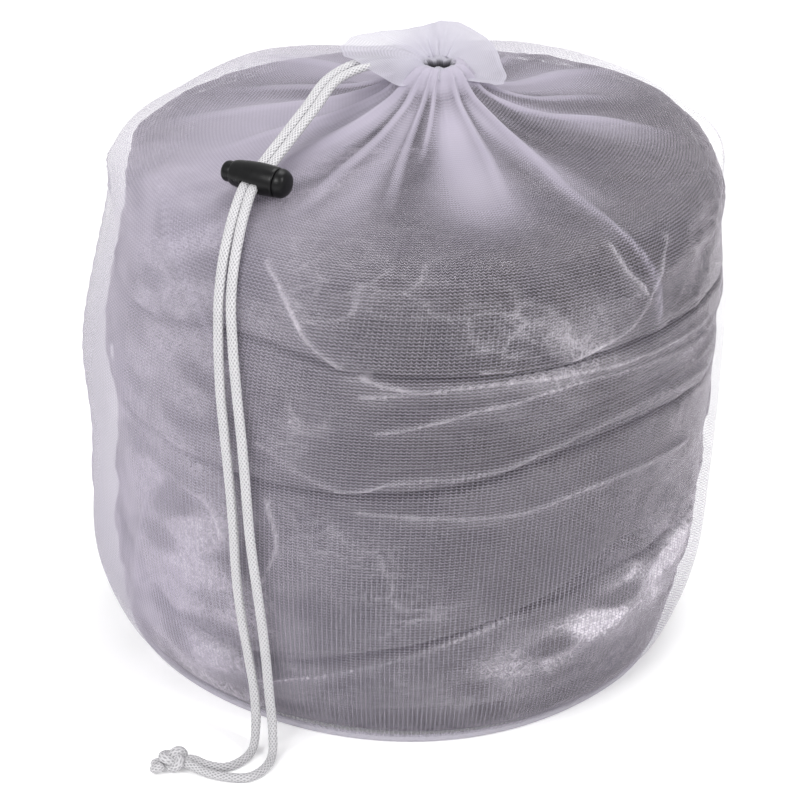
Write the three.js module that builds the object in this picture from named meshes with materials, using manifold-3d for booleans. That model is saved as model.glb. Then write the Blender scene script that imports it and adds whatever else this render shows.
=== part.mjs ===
// Stuffed net laundry bag: a drum of fine white net, drawn shut round a stack of film-wrapped laundry.
// Millimetres, +Z up. The origin is the middle of the base, on the floor. The front faces -Y.
import * as THREE from "three";
import { mergeVertices } from "three/addons/utils/BufferGeometryUtils.js";
import Module from "manifold-3d";

const wasm = await Module();
wasm.setup();

// ---- Driving dimensions ----
const GAP = 0.35; // air kept between touching pieces
const NET_THICKNESS = 1.0;
const NET_SEGMENTS = 72;
const LOAD_SEGMENTS = 36;
const PLEATS = 18;
const PLEAT_DEPTH = 3;

const BASE_RADIUS = 135;
const BASE_THICKNESS = 1.2;
const BINDING_WIDTH = 3.4;
const BINDING_HEIGHT = 3.2;
const SIDE_FOOT = 4.6; // height at which the side panel starts

const NECK = { x: 21, z: 289, radius: 10.5 };
const CHANNEL_RADIUS = 3.9; // the drawstring channel's own tube
const CHANNEL_WALL = 0.9;
const FRILL_THICKNESS = 0.9;
const FRILL_START = -35; // degrees round the neck
const FRILL_END = 150;

const CORD_RADIUS = 2.1;
const CORD_SIDES = 8;
const STRAND_PITCH = 4.8; // centre to centre, side by side

const LOCK_CENTRE = new THREE.Vector3(-62, -76.5, 267);
const CORD_WAY = new THREE.Vector3(0.476, 0.803, 0.358).normalize();
const LOCK_AXIS_ROUGH = new THREE.Vector3(0.869, -0.495, 0.008);

// ---- Materials ----
const net = { color: 0xdcdae4, roughness: 0.8, metalness: 0 };
const tape = { color: 0xe8e7ee, roughness: 0.75, metalness: 0 };
const cordWhite = { color: 0xe9e8ec, roughness: 0.7, metalness: 0 };
const blackPlastic = { color: 0x161618, roughness: 0.35, metalness: 0 };
const springSteel = { color: 0xb4b6ba, roughness: 0.3, metalness: 1 };
const darkCloth = { color: 0x30303f, roughness: 0.9, metalness: 0 };
const clearFilm = { color: 0xc9cad4, roughness: 0.15, metalness: 0 };

const bag = new THREE.Group();

function add(name, geometry, look, parent = bag) {
  const mesh = new THREE.Mesh(geometry, new THREE.MeshStandardMaterial(look));
  mesh.name = name;
  parent.add(mesh);
  return mesh;
}

// ---- Helpers ----
const radians = THREE.MathUtils.degToRad;

// A smooth hill of height 1 at an angle in degrees, about `width` degrees wide each way.
function hill(angle, atDegrees, width) {
  const turn = 2 * Math.PI;
  const away = ((((angle - radians(atDegrees) + Math.PI) % turn) + turn) % turn) - Math.PI;
  return Math.exp(-((away / radians(width)) ** 2));
}

function signedVolume(positions, index) {
  const [a, b, c] = [new THREE.Vector3(), new THREE.Vector3(), new THREE.Vector3()];
  let volume = 0;
  for (let i = 0; i < index.length; i += 3) {
    a.fromArray(positions, 3 * index[i]);
    b.fromArray(positions, 3 * index[i + 1]);
    c.fromArray(positions, 3 * index[i + 2]);
    volume += a.dot(b.cross(c)) / 6;
  }
  return volume;
}

// A closed body from rings of points: pointAt(angle, k) for k = 0 to rings - 1. With loop set, the last
// ring joins the first, which makes a shell; otherwise both end rings are closed by a fan to their middle.
function ringBody(pointAt, segments, rings, loop) {
  const positions = [];
  const index = [];
  const at = (i, k) => (k % rings) * segments + (i % segments);
  for (let k = 0; k < rings; k += 1)
    for (let i = 0; i < segments; i += 1)
      positions.push(...pointAt((2 * Math.PI * i) / segments, k).toArray());
  const spans = loop ? rings : rings - 1;
  for (let k = 0; k < spans; k += 1)
    for (let i = 0; i < segments; i += 1) {
      index.push(at(i, k), at(i + 1, k), at(i + 1, k + 1));
      index.push(at(i, k), at(i + 1, k + 1), at(i, k + 1));
    }
  if (!loop) {
    const middleOf = (k) => {
      const middle = new THREE.Vector3();
      for (let i = 0; i < segments; i += 1)
        middle.add(new THREE.Vector3().fromArray(positions, 3 * at(i, k)));
      positions.push(...middle.divideScalar(segments).toArray());
      return positions.length / 3 - 1;
    };
    const first = middleOf(0);
    const last = middleOf(rings - 1);
    for (let i = 0; i < segments; i += 1) {
      index.push(first, at(i + 1, 0), at(i, 0));
      index.push(last, at(i, rings - 1), at(i + 1, rings - 1));
    }
  }
  return bodyGeometry(positions, index);
}

function bodyGeometry(positions, index) {
  if (signedVolume(positions, index) < 0)
    for (let i = 0; i < index.length; i += 3) [index[i + 1], index[i + 2]] = [index[i + 2], index[i + 1]];
  const geometry = new THREE.BufferGeometry();
  geometry.setAttribute("position", new THREE.Float32BufferAttribute(positions, 3));
  geometry.setIndex(index);
  geometry.computeVertexNormals();
  return geometry;
}

function toSolid(geometry) {
  const bare = geometry.clone();
  bare.deleteAttribute("normal");
  bare.deleteAttribute("uv");
  const merged = mergeVertices(bare, 1e-4);
  return new wasm.Manifold(
    new wasm.Mesh({
      numProp: 3,
      vertProperties: merged.attributes.position.array,
      triVerts: new Uint32Array(merged.index.array),
    }),
  );
}

function fromSolid(solid) {
  const mesh = solid.getMesh();
  const geometry = new THREE.BufferGeometry();
  geometry.setAttribute("position", new THREE.Float32BufferAttribute(mesh.vertProperties, 3));
  geometry.setIndex(Array.from(mesh.triVerts));
  return geometry;
}

function cut(geometry, ...tools) {
  return fromSolid(tools.reduce((solid, tool) => solid.subtract(toSolid(tool)), toSolid(geometry)));
}

function circleShape(radius, sides) {
  const points = [];
  for (let i = 0; i < sides; i += 1) {
    const angle = (2 * Math.PI * i) / sides;
    points.push(new THREE.Vector2(radius * Math.cos(angle), radius * Math.sin(angle)));
  }
  return new THREE.Shape(points);
}

function tube(curve, radius, sides, steps) {
  return new THREE.ExtrudeGeometry(circleShape(radius, sides), { steps, extrudePath: curve });
}

// ---- The filled bag's outer shape ----
// Radius and height of the side panel from the base seam, over the shoulder, to the neck.
const SIDE_PROFILE = new THREE.SplineCurve(
  [
    [BASE_RADIUS, SIDE_FOOT],
    [141.5, 12],
    [147.5, 32],
    [151.5, 65],
    [155, 105],
    [157.5, 150],
    [157.5, 190],
    [155.5, 215],
    [150.5, 234],
    [138, 247],
    [117, 254.5],
    [92, 260],
    [67, 265.5],
    [44, 272],
    [27, 279],
    [15.5, 286],
  ].map(([radius, height]) => new THREE.Vector2(radius, height)),
);

// How far the bag's middle leans to +X at a height.
function lean(height) {
  return -1 + 23 * (Math.max(height, 0) / 300) ** 2.4;
}

// The drum isn't quite round: it has soft corners at the floor and at the back of the shoulder.
function outline(angle, radius, height) {
  const low = Math.exp(-((height / 60) ** 2));
  const high =
    THREE.MathUtils.smoothstep(height, 185, 238) * THREE.MathUtils.smoothstep(radius, 60, 140);
  return (
    radius +
    low * (3.5 * Math.cos(3 * (angle + radians(70))) + 3 * hill(angle, -28, 16) - 1.5) +
    high * (10 * hill(angle, 152, 26) + 6 * hill(angle, 42, 34) + 3 * hill(angle, 95, 30))
  );
}

// Folds that fan out from the neck and fade before the shoulder.
function pleatDrop(angle, radius) {
  const fade =
    THREE.MathUtils.smoothstep(radius, 12, 32) * (1 - THREE.MathUtils.smoothstep(radius, 70, 125));
  return fade * PLEAT_DEPTH * (0.5 - 0.5 * Math.cos(PLEATS * angle));
}

// A point on the net at a share of the profile, moved in by a depth along the profile's normal.
function netPoint(angle, share, depth) {
  const flat = SIDE_PROFILE.getPoint(share);
  const along = SIDE_PROFILE.getTangent(share);
  const radius = flat.x - depth * along.y;
  const height = flat.y + depth * along.x - pleatDrop(angle, flat.x);
  const reach = outline(angle, radius, flat.y);
  return new THREE.Vector3(lean(flat.y) + reach * Math.cos(angle), reach * Math.sin(angle), height);
}

function sidePanel() {
  const rows = 15;
  const pointAt = (angle, k) => {
    const outer = k < rows;
    const step = outer ? k : 2 * rows - 1 - k;
    return netPoint(angle, step / (rows - 1), outer ? 0 : NET_THICKNESS);
  };
  return ringBody(pointAt, NET_SEGMENTS, 2 * rows, true);
}

// A tape sewn over the net's closing seam, up the back of the drum.
function sideSeam() {
  const rows = 13;
  const [width, thickness, lift] = [9, 0.8, 0.75];
  const backAngle = radians(104);
  const positions = [];
  const index = [];
  for (let k = 0; k < rows; k += 1) {
    const share = 0.05 + (0.5 * k) / (rows - 1);
    for (const [side, depth] of [
      [-1, -lift],
      [1, -lift],
      [1, -lift - thickness],
      [-1, -lift - thickness],
    ])
      positions.push(...netPoint(backAngle + (side * width) / 320, share, depth).toArray());
  }
  for (let k = 0; k < rows - 1; k += 1)
    for (let i = 0; i < 4; i += 1) {
      const [a, b] = [4 * k + i, 4 * k + ((i + 1) % 4)];
      index.push(a, b, b + 4, a, b + 4, a + 4);
    }
  const top = 4 * (rows - 1);
  index.push(0, 2, 1, 0, 3, 2, top, top + 1, top + 2, top, top + 2, top + 3);
  return bodyGeometry(positions, index);
}

// ---- Base ----
function basePanel() {
  const rim = (angle) => outline(angle, BASE_RADIUS - BINDING_WIDTH - 2 * GAP, 0);
  const pointAt = (angle, k) =>
    new THREE.Vector3(
      lean(0) + rim(angle) * Math.cos(angle),
      rim(angle) * Math.sin(angle),
      k * BASE_THICKNESS,
    );
  return ringBody(pointAt, NET_SEGMENTS, 2, false);
}

// The bound seam that joins the base to the side panel.
function baseBinding() {
  const corners = 6;
  const pointAt = (angle, k) => {
    const around = (2 * Math.PI * k) / corners;
    const reach = outline(angle, BASE_RADIUS, 0) - BINDING_WIDTH / 2 + (BINDING_WIDTH / 2) * Math.cos(around);
    const height = 0.3 + (BINDING_HEIGHT / 2) * (1 + Math.sin(around));
    return new THREE.Vector3(
      lean(0) + reach * Math.cos(angle),
      reach * Math.sin(angle),
      height,
    );
  };
  return ringBody(pointAt, LOAD_SEGMENTS, corners, true);
}

// ---- Mouth ----
const neckMiddle = new THREE.Vector3(NECK.x, 0, NECK.z);
const EXIT_ANGLE = radians(158); // where both strands leave the channel

function neckPoint(angle, reach, rise) {
  return new THREE.Vector3(reach * Math.cos(angle), reach * Math.sin(angle), rise).add(neckMiddle);
}

// The folded hem that the drawstring runs in, pulled up into a tight ring.
function channel() {
  const corners = 8;
  const pointAt = (angle, k) => {
    const outer = k < corners;
    const around = (2 * Math.PI * (outer ? k : corners - k)) / corners;
    const bunch = 0.35 * Math.cos(9 * angle);
    const radius = outer ? CHANNEL_RADIUS + bunch : CHANNEL_RADIUS - CHANNEL_WALL;
    return neckPoint(angle, NECK.radius + radius * Math.cos(around), radius * Math.sin(around));
  };
  const skin = ringBody((angle, k) => pointAt(angle, k), LOAD_SEGMENTS, corners, true);
  const hollow = ringBody((angle, k) => pointAt(angle, corners + k), LOAD_SEGMENTS, corners, true);
  const slit = new THREE.CylinderGeometry(4.9, 4.9, 9, 20);
  slit.rotateX(Math.PI / 2);
  slit.rotateY(Math.PI / 2);
  slit.rotateX(Math.PI / 2);
  slit.scale(1, 1, 0.56);
  slit.translate(NECK.radius + 6.2, 0, 0.6);
  slit.rotateZ(EXIT_ANGLE);
  slit.translate(neckMiddle.x, neckMiddle.y, neckMiddle.z);
  return cut(skin, hollow, slit);
}

function drawcordLoop() {
  const ring = new THREE.TorusGeometry(NECK.radius, CORD_RADIUS, CORD_SIDES, 24);
  ring.translate(neckMiddle.x, neckMiddle.y, neckMiddle.z);
  return ring;
}

// Height and reach of the frill's free edge round the back of the mouth.
function frillEdge(angle) {
  const back = hill(angle, 88, 60);
  const right = hill(angle, 5, 45);
  const left = hill(angle, 150, 40);
  return {
    reach: 13 + 7 * back + 13 * right + 12 * left,
    rise: 4.2 + 10.5 * back + 1.5 * right + 2 * left,
  };
}

// The heading above the channel: it stands up behind the mouth and spreads to the right.
function frill() {
  const [steps, rows] = [30, 4];
  const positions = [];
  const index = [];
  const ring = 2 * rows;
  for (let i = 0; i <= steps; i += 1) {
    const angle = radians(THREE.MathUtils.lerp(FRILL_START, FRILL_END, i / steps));
    const edge = frillEdge(angle);
    const ruffle = Math.cos(9 * angle);
    for (let k = 0; k < ring; k += 1) {
      const inner = k < rows;
      const share = (inner ? k : ring - 1 - k) / (rows - 1);
      const reach = THREE.MathUtils.lerp(NECK.radius - 0.6, edge.reach + 1.2 * ruffle, share ** 1.3);
      const rise = THREE.MathUtils.lerp(CHANNEL_RADIUS + 1, edge.rise + 1, share);
      positions.push(...neckPoint(angle, reach + (inner ? 0 : FRILL_THICKNESS), rise).toArray());
    }
  }
  for (let i = 0; i < steps; i += 1)
    for (let k = 0; k < ring; k += 1) {
      const [a, b] = [ring * i + k, ring * i + ((k + 1) % ring)];
      index.push(a, b, b + ring, a, b + ring, a + ring);
    }
  for (const [start, turn] of [
    [0, false],
    [ring * steps, true],
  ])
    for (let k = 0; k < rows - 1; k += 1) {
      const [a, b, c, d] = [start + k, start + k + 1, start + ring - 2 - k, start + ring - 1 - k];
      if (turn) index.push(a, b, c, a, c, d);
      else index.push(a, c, b, a, d, c);
    }
  return bodyGeometry(positions, index);
}

// ---- The laundry inside: folded dark garments in clear film, stacked in four bundles ----
// A bundle runs from a low to a high height. `inset` is its distance in from the net.
const BUNDLES = [
  { name: "bottom", low: 2.2, high: 66, rounding: 12 },
  { name: "middle", low: 67.5, high: 134, rounding: 14 },
  { name: "upper", low: 135.5, high: 192, rounding: 14 },
  { name: "top", low: 193.5, high: 249, rounding: 26 },
];
const FILM_THICKNESS = 0.8;

// The net's radius at a height on the drum's wall, found along the profile.
function wallRadius(height) {
  let [low, high] = [0, 0.62];
  for (let i = 0; i < 30; i += 1) {
    const middle = (low + high) / 2;
    if (SIDE_PROFILE.getPoint(middle).y < height) low = middle;
    else high = middle;
  }
  return SIDE_PROFILE.getPoint(low).x;
}

// The load sits to the right of the bag, so the net hangs clear of it on the left.
function loadPoint(angle, height, roundOff, depth) {
  const inset = 9.5 - 4.5 * Math.cos(angle) + depth + roundOff;
  const radius = outline(angle, wallRadius(Math.min(height, 236)) - inset, height);
  return new THREE.Vector3(lean(height) + radius * Math.cos(angle), radius * Math.sin(angle), height);
}

// [height, round-off] pairs of a bundle from its foot, up its wall and over its rounded upper edge.
function bundleRings({ low, high, rounding }, footRound) {
  const wall = [low + 1, low + 9, (low + high - rounding) / 2 + 3, high - rounding];
  const rings = wall.map((height, k) => [height, k === 0 ? footRound : 0]);
  rings.push([high - 0.35 * rounding, 0.5 * rounding], [high, rounding]);
  return rings;
}

function garment(bundle) {
  const depth = FILM_THICKNESS + 2 * GAP;
  const rings = bundleRings(bundle, 5);
  const pointAt = (angle, k) => {
    const [height, roundOff] = rings[k];
    const drop = k < rings.length - 3 ? 0 : depth;
    return loadPoint(angle, k === 0 ? height + depth : height - drop, roundOff, depth);
  };
  return ringBody(pointAt, LOAD_SEGMENTS, rings.length, false);
}

// Each film is a hood over its bundle: a thin wall with a top, open underneath.
function film(bundle) {
  const rings = bundleRings(bundle, 0);
  const rows = rings.length;
  const pointAt = (angle, k) => {
    const isOuter = k < rows;
    const row = isOuter ? rows - 1 - k : k - rows;
    const [height, roundOff] = rings[row];
    const drop = isOuter || row < rows - 3 ? 0 : FILM_THICKNESS;
    return loadPoint(angle, height - drop, roundOff, isOuter ? 0 : FILM_THICKNESS);
  };
  return ringBody(pointAt, LOAD_SEGMENTS, 2 * rows, false);
}

// ---- Cord lock ----
const lockAxis = LOCK_AXIS_ROUGH.clone()
  .addScaledVector(CORD_WAY, -LOCK_AXIS_ROUGH.dot(CORD_WAY))
  .normalize();
const lockUp = new THREE.Vector3().crossVectors(lockAxis, CORD_WAY);

// Lock pieces are drawn with +X along the barrel, +Y along the cords and +Z away from the bag.
const lockGroup = new THREE.Group();
lockGroup.applyMatrix4(new THREE.Matrix4().makeBasis(lockAxis, CORD_WAY, lockUp).setPosition(LOCK_CENTRE));
bag.add(lockGroup);

const LOCK = {
  mouth: -12,
  counterbore: -7.4,
  end: 11.6,
  capEnd: 17.5,
  bore: 4.2,
  counterboreRadius: 5.25,
  shaft: 3.85,
  button: 4.9,
  buttonEnd: -17.5,
  buttonBack: -11.8,
  shaftEnd: 6.3,
  press: 4,
  slotLength: 4.95,
  slotWidth: 2.7,
  recess: 3.3,
  recessEnd: 14.6,
  spigot: 3.85,
  spigotStart: 10.7,
  sides: 20,
};

// A body turned about the barrel's axis from (position along the axis, radius) points.
function turned(points, sides = LOCK.sides) {
  const profile = points.map(([along, radius]) => new THREE.Vector2(radius, along));
  const geometry = new THREE.LatheGeometry(profile, sides);
  geometry.rotateZ(-Math.PI / 2);
  return geometry;
}

// The way through for the two strands, between two positions along the barrel.
function cordSlot(from, to) {
  const slot = new THREE.BoxGeometry(to - from, 24, 2 * LOCK.slotWidth);
  slot.translate((from + to) / 2, 0, 0);
  return slot;
}

function lockBarrel() {
  const body = turned([
    [LOCK.mouth, LOCK.counterboreRadius],
    [LOCK.mouth, 6.0],
    [-10.5, 6.45],
    [-6, 6.95],
    [0, 7.2],
    [6, 7.3],
    [10.8, 7.3],
    [LOCK.end, 6.9],
    [LOCK.end, LOCK.bore],
    [LOCK.counterbore, LOCK.bore],
    [LOCK.counterbore, LOCK.counterboreRadius],
    [LOCK.mouth, LOCK.counterboreRadius],
  ]);
  return cut(body, cordSlot(-LOCK.slotLength, LOCK.slotLength));
}

function lockCap() {
  const face = LOCK.end + GAP;
  return turned([
    [LOCK.spigotStart, LOCK.recess],
    [LOCK.spigotStart, LOCK.spigot],
    [face, LOCK.spigot],
    [face, 6.6],
    [face + 1, 6.6],
    [face + 1.1, 7.3],
    [14.6, 7.0],
    [16.4, 5.6],
    [17.3, 3.4],
    [LOCK.capEnd, 0],
    [LOCK.recessEnd, 0],
    [LOCK.recessEnd, LOCK.recess],
    [LOCK.spigotStart, LOCK.recess],
  ]);
}

function lockPlunger() {
  const body = turned([
    [LOCK.buttonEnd, 0],
    [LOCK.buttonEnd, 2.6],
    [-17, 4.0],
    [-15.8, LOCK.button],
    [LOCK.buttonBack, LOCK.button],
    [LOCK.buttonBack, LOCK.shaft],
    [LOCK.shaftEnd, LOCK.shaft],
    [LOCK.shaftEnd, 0],
  ]);
  return cut(body, cordSlot(-LOCK.slotLength - LOCK.press, LOCK.slotLength));
}

class SpringCurve extends THREE.Curve {
  getPoint(share) {
    const [turns, radius] = [4.5, 2.6];
    const from = LOCK.shaftEnd + 0.6;
    const to = LOCK.recessEnd - 0.6;
    const angle = 2 * Math.PI * turns * share;
    return new THREE.Vector3(
      THREE.MathUtils.lerp(from, to, share),
      radius * Math.cos(angle),
      radius * Math.sin(angle),
    );
  }
}

// ---- Free cord: two strands from the channel, through the lock, down the bag to the knot ----
// Points beside the lock are worked out from it; the rest of each route is chosen by hand.
function besideLock(distance, side) {
  return LOCK_CENTRE.clone()
    .addScaledVector(CORD_WAY, distance)
    .addScaledVector(lockAxis, (side * STRAND_PITCH) / 2);
}

const LEFT_ROUTE_DOWN = [
  [-74.5, -113, 249.5],
  [-77, -128.5, 233],
  [-77.5, -135.5, 212],
  [-77, -139.5, 190],
  [-75.5, -142, 168],
  [-74, -143, 145],
  [-73, -143, 122],
  [-72.5, -141.5, 98],
  [-71, -140, 76],
  [-68.5, -139, 54],
  [-66, -139.5, 33],
  [-65.5, -141, 15],
  [-67, -145.5, 4.2],
  [-71, -152.5, 2.6],
  [-79, -158.6, 2.6],
  [-88, -157, 2.7],
  [-95.0, -154.8, 4.4],
];
const RIGHT_ROUTE_DOWN = [
  [-69.5, -115, 249.8],
  [-71.6, -131, 233],
  [-71, -138.5, 212],
  [-69.5, -143, 190],
  [-67.8, -146, 168],
  [-66.6, -147, 145],
  [-65.5, -147.2, 122],
  [-63.5, -146.3, 98],
  [-61.5, -144.8, 76],
  [-60, -142.8, 54],
  [-58.8, -142.5, 33],
  [-57.6, -144, 15],
  [-57.6, -150, 4.2],
  [-60.5, -159, 2.6],
  [-68, -166.6, 2.6],
  [-79, -166.2, 2.6],
  [-88.5, -162.6, 2.7],
  [-94.8, -160, 4.4],
];
const LEFT_ROUTE_UP = [
  [-14.4, -2.4, 294.6],
  [-1.4, 9, 291.6],
];
const RIGHT_ROUTE_UP = [
  [-9.8, -7.9, 294.6],
  [0.9, 2.2, 291.4],
];
const STRAIGHT_STRETCH = [70, 50, 30, 8, 0, -8];

function strand(side, up, down) {
  const straight = STRAIGHT_STRETCH.map((distance) => besideLock(distance, side));
  const vectors = (points) => points.map((point) => new THREE.Vector3(...point));
  const curve = new THREE.CatmullRomCurve3([...vectors(up).reverse(), ...straight, ...vectors(down)]);
  return tube(curve, CORD_RADIUS, CORD_SIDES, 48);
}

// ---- Knot and stub ends on the floor ----
const KNOT_CENTRE = new THREE.Vector3(-103.8, -157.2, 5.9);

function knot() {
  const ball = new THREE.SphereGeometry(1, 20, 12);
  ball.scale(8.2, 5.6, 5.4);
  ball.rotateZ(radians(12));
  ball.translate(KNOT_CENTRE.x, KNOT_CENTRE.y, KNOT_CENTRE.z);
  return ball;
}

function stubEnd(side) {
  const start = new THREE.Vector3(-112.6, -159 + 2.6 * side, 4);
  const end = start.clone().add(new THREE.Vector3(-6.5, 2.5 * side - 0.5, -1.2));
  return tube(new THREE.LineCurve3(start, end), CORD_RADIUS, CORD_SIDES, 2);
}

// ---- Assembly ----
add("side_panel", sidePanel(), net);
add("side_seam", sideSeam(), tape);
add("base_panel", basePanel(), net);
add("base_binding", baseBinding(), tape);
add("drawstring_channel", channel(), net);
add("mouth_frill", frill(), net);
add("drawcord_loop", drawcordLoop(), cordWhite);
for (const bundle of BUNDLES) {
  add(`garment_${bundle.name}`, garment(bundle), darkCloth);
  add(`film_${bundle.name}`, film(bundle), clearFilm);
}
add("cord_strand_left", strand(-1, LEFT_ROUTE_UP, LEFT_ROUTE_DOWN), cordWhite);
add("cord_strand_right", strand(1, RIGHT_ROUTE_UP, RIGHT_ROUTE_DOWN), cordWhite);
add("end_knot", knot(), cordWhite);
add("cord_end_left", stubEnd(1), cordWhite);
add("cord_end_right", stubEnd(-1), cordWhite);
add("lock_barrel", lockBarrel(), blackPlastic, lockGroup);
add("lock_cap", lockCap(), blackPlastic, lockGroup);
add("lock_plunger", lockPlunger(), blackPlastic, lockGroup);
add("lock_spring", tube(new SpringCurve(), 0.28, 5, 40), springSteel, lockGroup);

export default bag;
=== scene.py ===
"""Net laundry bag, drawn shut round dark laundry in clear film.

Sizes are in millimetres, +Z up, with the front towards -Y. Meshes are made in metres.
"""

import math

import bmesh
import bpy
import numpy as np
from mathutils import Matrix, Vector, noise


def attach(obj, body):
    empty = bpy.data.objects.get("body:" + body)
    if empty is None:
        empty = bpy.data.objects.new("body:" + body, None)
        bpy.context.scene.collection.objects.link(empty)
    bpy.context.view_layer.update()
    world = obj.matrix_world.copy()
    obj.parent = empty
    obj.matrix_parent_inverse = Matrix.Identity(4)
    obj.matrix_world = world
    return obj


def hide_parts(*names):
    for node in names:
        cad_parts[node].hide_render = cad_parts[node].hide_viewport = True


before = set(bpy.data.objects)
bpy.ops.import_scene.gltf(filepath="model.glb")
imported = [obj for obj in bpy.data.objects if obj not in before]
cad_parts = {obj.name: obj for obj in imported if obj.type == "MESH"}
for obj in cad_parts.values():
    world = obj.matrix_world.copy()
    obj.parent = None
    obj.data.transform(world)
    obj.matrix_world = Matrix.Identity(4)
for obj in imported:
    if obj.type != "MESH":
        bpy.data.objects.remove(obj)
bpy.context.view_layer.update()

MM = 0.001
TURN = 2 * math.pi
NOISE_SEED = 7
noise.seed_set(NOISE_SEED)  # noise_vector starts from the clock unless it is seeded

# ---- Driving dimensions, in millimetres ----
SIDE_PROFILE = [
    (135, 3.4), (141.5, 12), (147.5, 32), (151.5, 65), (155, 105), (157.5, 150), (157.5, 190),
    (155.5, 215), (150.5, 234), (138, 247), (117, 254.5), (92, 260), (67, 265.5), (44, 272),
    (27, 279), (16, 285.8), (12, 289.4), (9.4, 291.6), (8, 292.2),
]
BAG_ROUND = 1000  # the net's width when flat, once round the bag
BASE_RADIUS = 135
NECK_X = 21.0  # how far the mouth lies to the right
NET_SEGMENTS = 432
NET_ROWS = 150
NET_THICKNESS = 0.3

WALES = 417  # knitted columns round the bag
COURSE = 1.6  # height of one knitted row

CORD_RADIUS = 2.1
STRAND_PITCH = 4.8
LOCK_CENTRE = Vector((-62, -76.5, 267))
CORD_WAY = Vector((0.476, 0.803, 0.358)).normalized()
LOCK_AXIS_ROUGH = Vector((0.869, -0.495, 0.008))
LOCK_SLOT = 4.95  # half length of the barrel's way through for the cords
BUTTON_SLOT = 9.25  # how far the plunger's slot reaches towards its button

SEAM_ANGLE = 104
HEM_CORD_REACH = 9.9
HEM_CORD_HEIGHT = 287.4


# ---- Camera ----
def add_camera():
    elevation = math.radians(28)
    aim = Vector((2.5, 0, 113)) * MM
    distance = 1.4
    data = bpy.data.cameras.new("camera")
    data.sensor_width = 36
    data.lens = 126
    camera = bpy.data.objects.new("camera", data)
    away = Vector((0, -math.cos(elevation), math.sin(elevation)))
    camera.location = aim + distance * away
    camera.rotation_euler = (math.pi / 2 - elevation, 0, 0)
    bpy.context.scene.collection.objects.link(camera)
    bpy.context.scene.camera = camera


add_camera()


# ---- Mesh helpers ----
def mesh_object(name, points, faces, uv, values=None):
    """A smooth mesh from points in mm, a uv pair for each face corner, and named numbers for each point."""
    mesh = bpy.data.meshes.new(name)
    mesh.from_pydata((np.asarray(points, float) * MM).tolist(), [], faces)
    mesh.polygons.foreach_set("use_smooth", [True] * len(mesh.polygons))
    layer = mesh.uv_layers.new(name="flat")
    layer.data.foreach_set("uv", np.asarray(uv, np.float32).ravel())
    for key, numbers in (values or {}).items():
        attribute = mesh.attributes.new(key, "FLOAT", "POINT")
        attribute.data.foreach_set("value", np.asarray(numbers, np.float32).ravel())
    mesh.update()
    made = bpy.data.objects.new(name, mesh)
    bpy.context.scene.collection.objects.link(made)
    return made


def grid_parts(points, uv, closed, looped=False, first=0):
    """Quads and corner uv pairs of a grid. Closed joins its last column to its first, looped its rows."""
    rows, columns = points.shape[:2]
    across = columns if closed else columns - 1
    r, c = np.meshgrid(np.arange(rows if looped else rows - 1), np.arange(across), indexing="ij")
    r, c = r.ravel(), c.ravel()
    after = (c + 1) % columns
    low, high = r * columns, (r + 1) % rows * columns
    faces = np.stack([low + c, low + after, high + after, high + c], 1)
    corners = np.stack([uv[r, c], uv[r, c + 1], uv[r + 1, c + 1], uv[r + 1, c]], 1)
    return (faces + first).tolist(), corners.reshape(-1, 2)


def grid_object(name, points, uv=None, closed=True, looped=False, values=None, caps=False):
    """A sheet or a closed skin from a grid of points. With caps, its first and last rows are filled."""
    rows, columns = points.shape[:2]
    if uv is None:
        uv = flat_grid(steps(columns + 1), steps(rows + int(looped)))
    faces, corners = grid_parts(points, uv, closed, looped)
    if caps:
        bottom = list(range(columns))[::-1]
        top = list(range((rows - 1) * columns, rows * columns))
        faces += [bottom, top]
        corners = np.vstack([corners, np.zeros((2 * columns, 2))])
    return mesh_object(name, points.reshape(-1, 3), faces, corners, values)


def flat_grid(across, up):
    """The uv pairs of a grid, from its places across and up."""
    return np.stack(np.meshgrid(across, up), -1)


def steps(count):
    """Evenly spaced numbers from 0 to 1."""
    return np.linspace(0, 1, count)


def angles(count):
    """A row of evenly spaced angles, once round."""
    return TURN * np.arange(count)[None, :] / count


def round_points(middle, reach, angle, height):
    """Points at a reach from an upright line that stands at x = middle."""
    return np.stack([middle + reach * np.cos(angle), reach * np.sin(angle), height + 0 * angle], -1)


def smooth(x, low, high):
    t = np.clip((x - low) / (high - low), 0, 1)
    return t * t * (3 - 2 * t)


def fall(x, low, high):
    return 1 - smooth(x, low, high)


def bell(away, width, power=2):
    """1 where away is 0, falling smoothly to 1/e where it is one width."""
    return np.exp(-((away / width) ** power))


def turned_from(angle, middle):
    """The turn from one angle to another, at most half a turn either way."""
    return (angle - middle + math.pi) % TURN - math.pi


def hill(angle, at, width):
    """A smooth hill of height 1 at an angle in degrees, about width degrees wide each way."""
    return bell(turned_from(angle, math.radians(at)), math.radians(width))


def waves(angle, height, seed, turns, length, count=9):
    """Soft seeded noise from -1 to 1 on the drum: up to `turns` waves round, `length` mm up."""
    draw = np.random.default_rng(seed)
    total = 0
    for _ in range(count):
        round_about = int(draw.integers(-turns, turns + 1))
        up = draw.uniform(-1, 1) * TURN / length
        total = total + np.cos(round_about * angle + up * height + draw.uniform(0, TURN))
    return total / math.sqrt(2 * count)


def hermite(a, b, leave, arrive, t):
    """Point at share t of the cubic curve from a to b with the slopes leave and arrive."""
    cubic = (2 * a - 2 * b + leave + arrive) * t**3
    square = (3 * b - 3 * a - 2 * leave - arrive) * t**2
    return cubic + square + leave * t + a


def reach_along(line):
    """How far along a line each of its points lies."""
    return np.concatenate([[0], np.cumsum(np.linalg.norm(np.diff(line, axis=0), axis=1))])


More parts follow.
